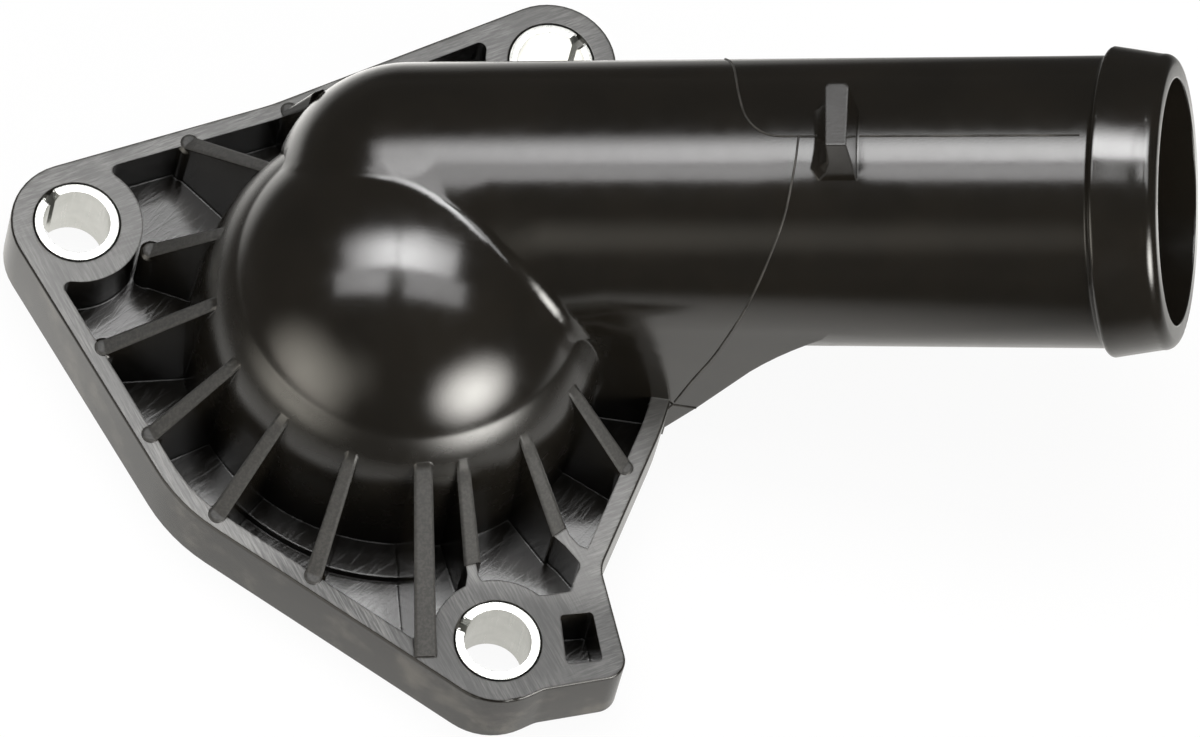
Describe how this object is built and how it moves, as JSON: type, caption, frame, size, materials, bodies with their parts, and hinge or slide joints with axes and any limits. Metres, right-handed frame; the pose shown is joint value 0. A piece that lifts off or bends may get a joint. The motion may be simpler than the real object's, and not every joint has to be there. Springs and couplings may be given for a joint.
{
  "type": "coolant water outlet",
  "caption": "Moulded coolant water outlet: domed chamber with a beaded hose neck on a ribbed flange with steel-sleeved bolt holes.",
  "frame": {"origin": "centre of the coolant inlet opening, on the mounting face", "axes": "+Z away from the engine, square to the mounting face; +X along the plan heading of the hose neck, towards its open end; +Y towards the bolt beside the neck"},
  "size_m": [0.1525, 0.1017, 0.0676],
  "materials": {
    "nylon": "satin black glass-filled nylon",
    "sleeve_steel": "bright plated",
    "seal_rubber": "matt black"
  },
  "bodies": {
    "root": {"housing": "nylon", "left_sleeve": "sleeve_steel", "upper_sleeve": "sleeve_steel", "lower_sleeve": "sleeve_steel", "mounting_seal": "seal_rubber"}
  },
  "joints": []
}
